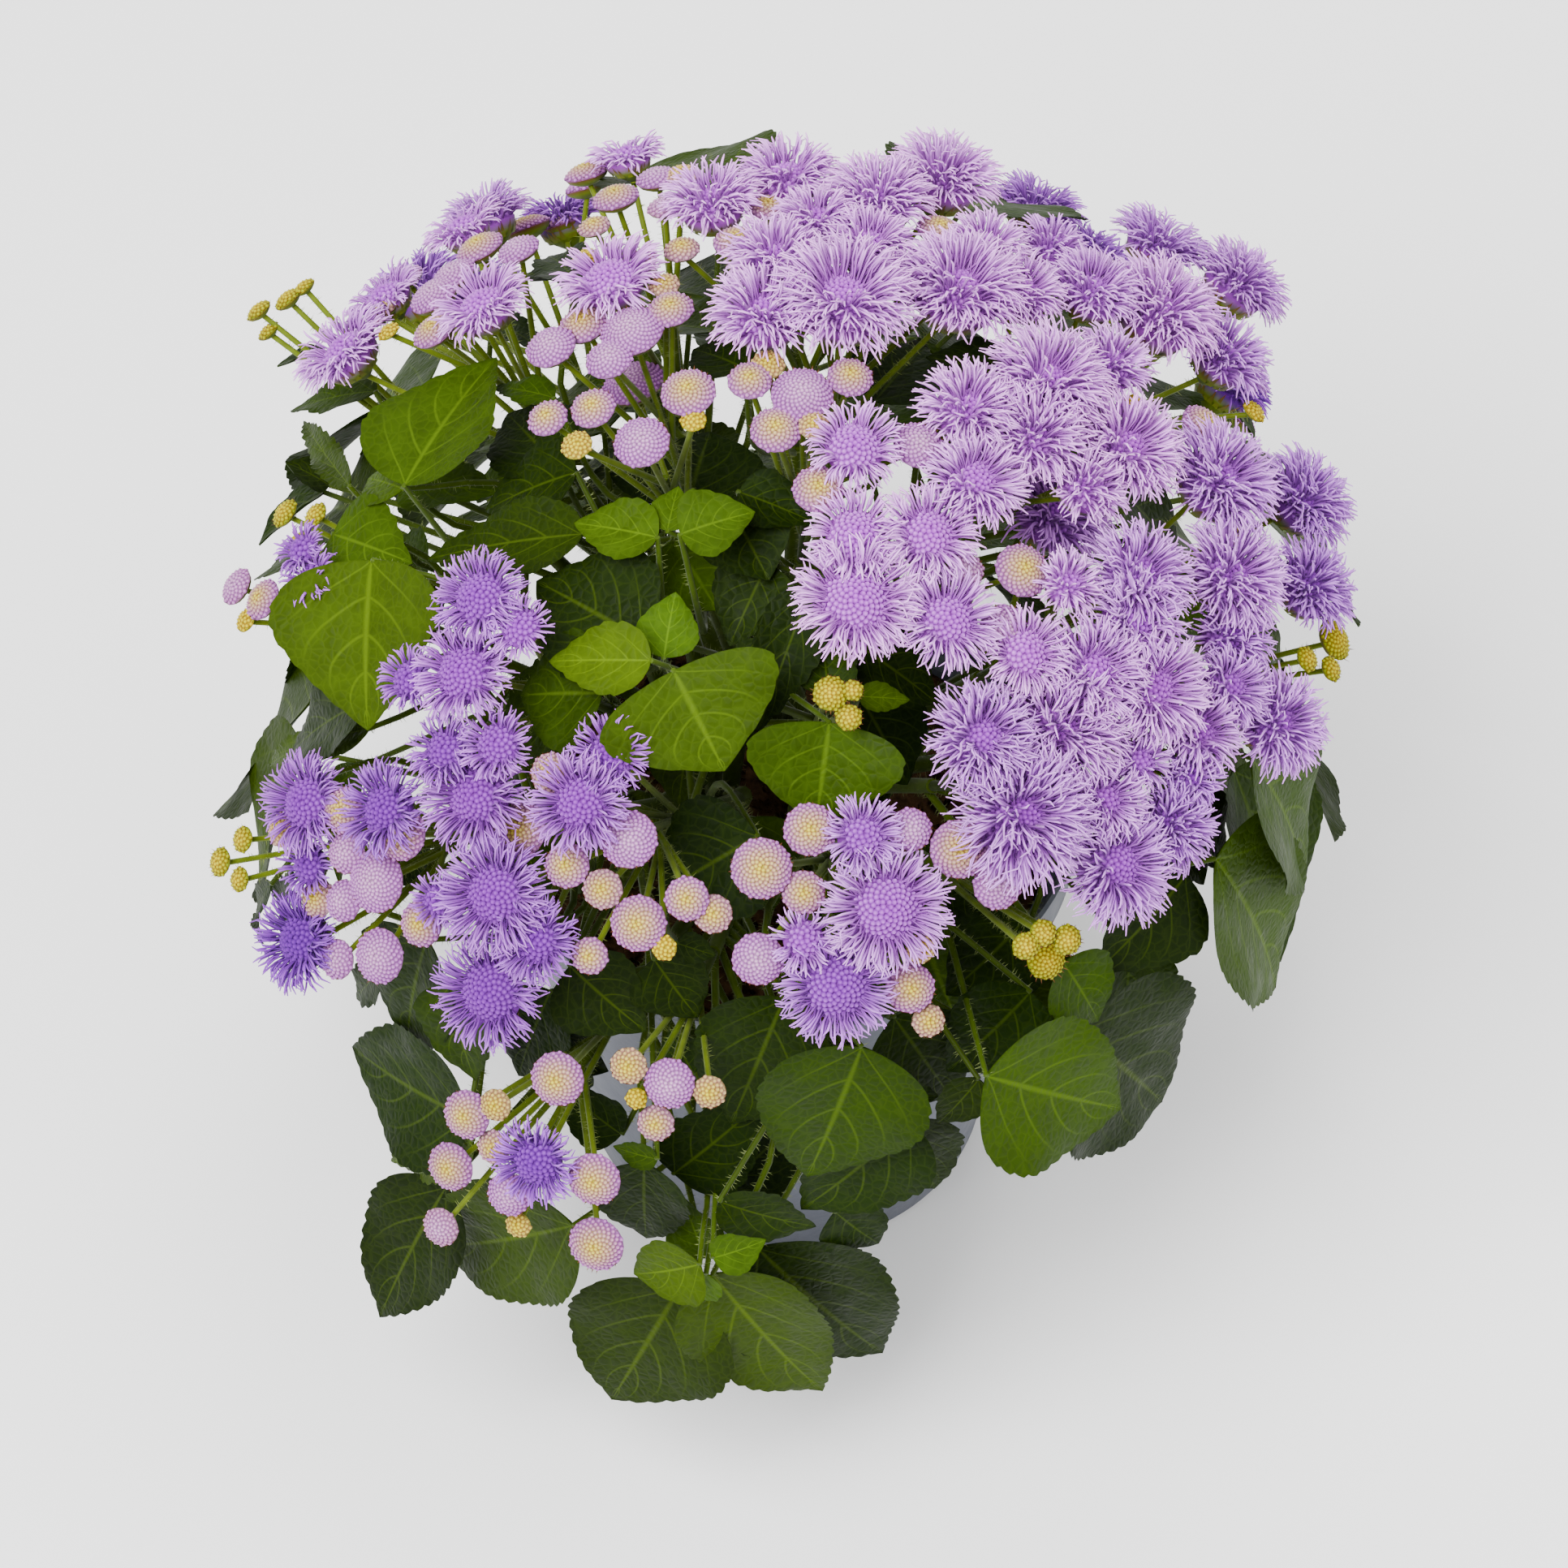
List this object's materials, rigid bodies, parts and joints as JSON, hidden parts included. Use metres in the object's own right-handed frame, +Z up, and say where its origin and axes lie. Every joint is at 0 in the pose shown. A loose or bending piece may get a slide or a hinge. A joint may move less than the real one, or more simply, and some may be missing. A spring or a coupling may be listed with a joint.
{
  "type": "potted ageratum",
  "caption": "Potted ageratum: a dome of toothed leaves and fluffy lavender flower clusters on branching stems, standing in a grey plastic nursery pot of soil",
  "frame": {"origin": "centre of the pot's flat underside, where it rests", "axes": "+Z up through the middle of the pot, -Y toward the viewer of the picture, +X to the viewer's right"},
  "size_m": [0.179, 0.183, 0.1862],
  "materials": {
    "pot_plastic": "satin",
    "soil": "matte",
    "stem": "satin",
    "leaf": "satin",
    "flower": "matte"
  },
  "bodies": {
    "root": {"pot": "pot_plastic", "soil": "soil", "stem_1": "stem", "stem_2": "stem", "stem_3": "stem", "shoot_left_top": "leaf", "shoot_top_left": "leaf", "shoot_upper_left": "leaf", "shoot_stalked": "leaf", "shoot_upper_middle": "leaf", "shoot_top_middle": "leaf", "shoot_upper_full": "leaf", "shoot_top_right": "leaf", "shoot_right_high": "leaf", "shoot_middle": "leaf", "shoot_right_top": "leaf", "shoot_right": "leaf", "shoot_right_edge": "leaf", "shoot_low_right": "leaf", "shoot_low_middle": "leaf", "shoot_left_high": "leaf", "shoot_left_middle": "leaf", "shoot_middle_left": "leaf", "shoot_left": "leaf", "shoot_left_edge": "leaf", "shoot_bottom_left": "leaf", "shoot_bottom": "leaf", "shoot_green_top_left": "leaf", "shoot_green_left": "leaf", "shoot_green_left_low": "leaf", "shoot_green_middle": "leaf", "shoot_green_low_right": "leaf", "shoot_green_right": "leaf", "shoot_far_left": "leaf", "shoot_far_right": "leaf", "spray_left_top": "flower", "spray_top_left": "flower", "spray_upper_left": "flower", "spray_stalked": "flower", "spray_upper_middle": "flower", "spray_top_middle": "flower", "spray_upper_full": "flower", "spray_top_right": "flower", "spray_right_high": "flower", "spray_middle": "flower", "spray_right_top": "flower", "spray_right": "flower", "spray_right_edge": "flower", "spray_low_right": "flower", "spray_low_middle": "flower", "spray_left_high": "flower", "spray_left_middle": "flower", "spray_middle_left": "flower", "spray_left": "flower", "spray_left_edge": "flower", "spray_bottom_left": "flower", "spray_bottom": "flower", "spray_far_left": "flower", "spray_far_right": "flower"}
  },
  "joints": []
}
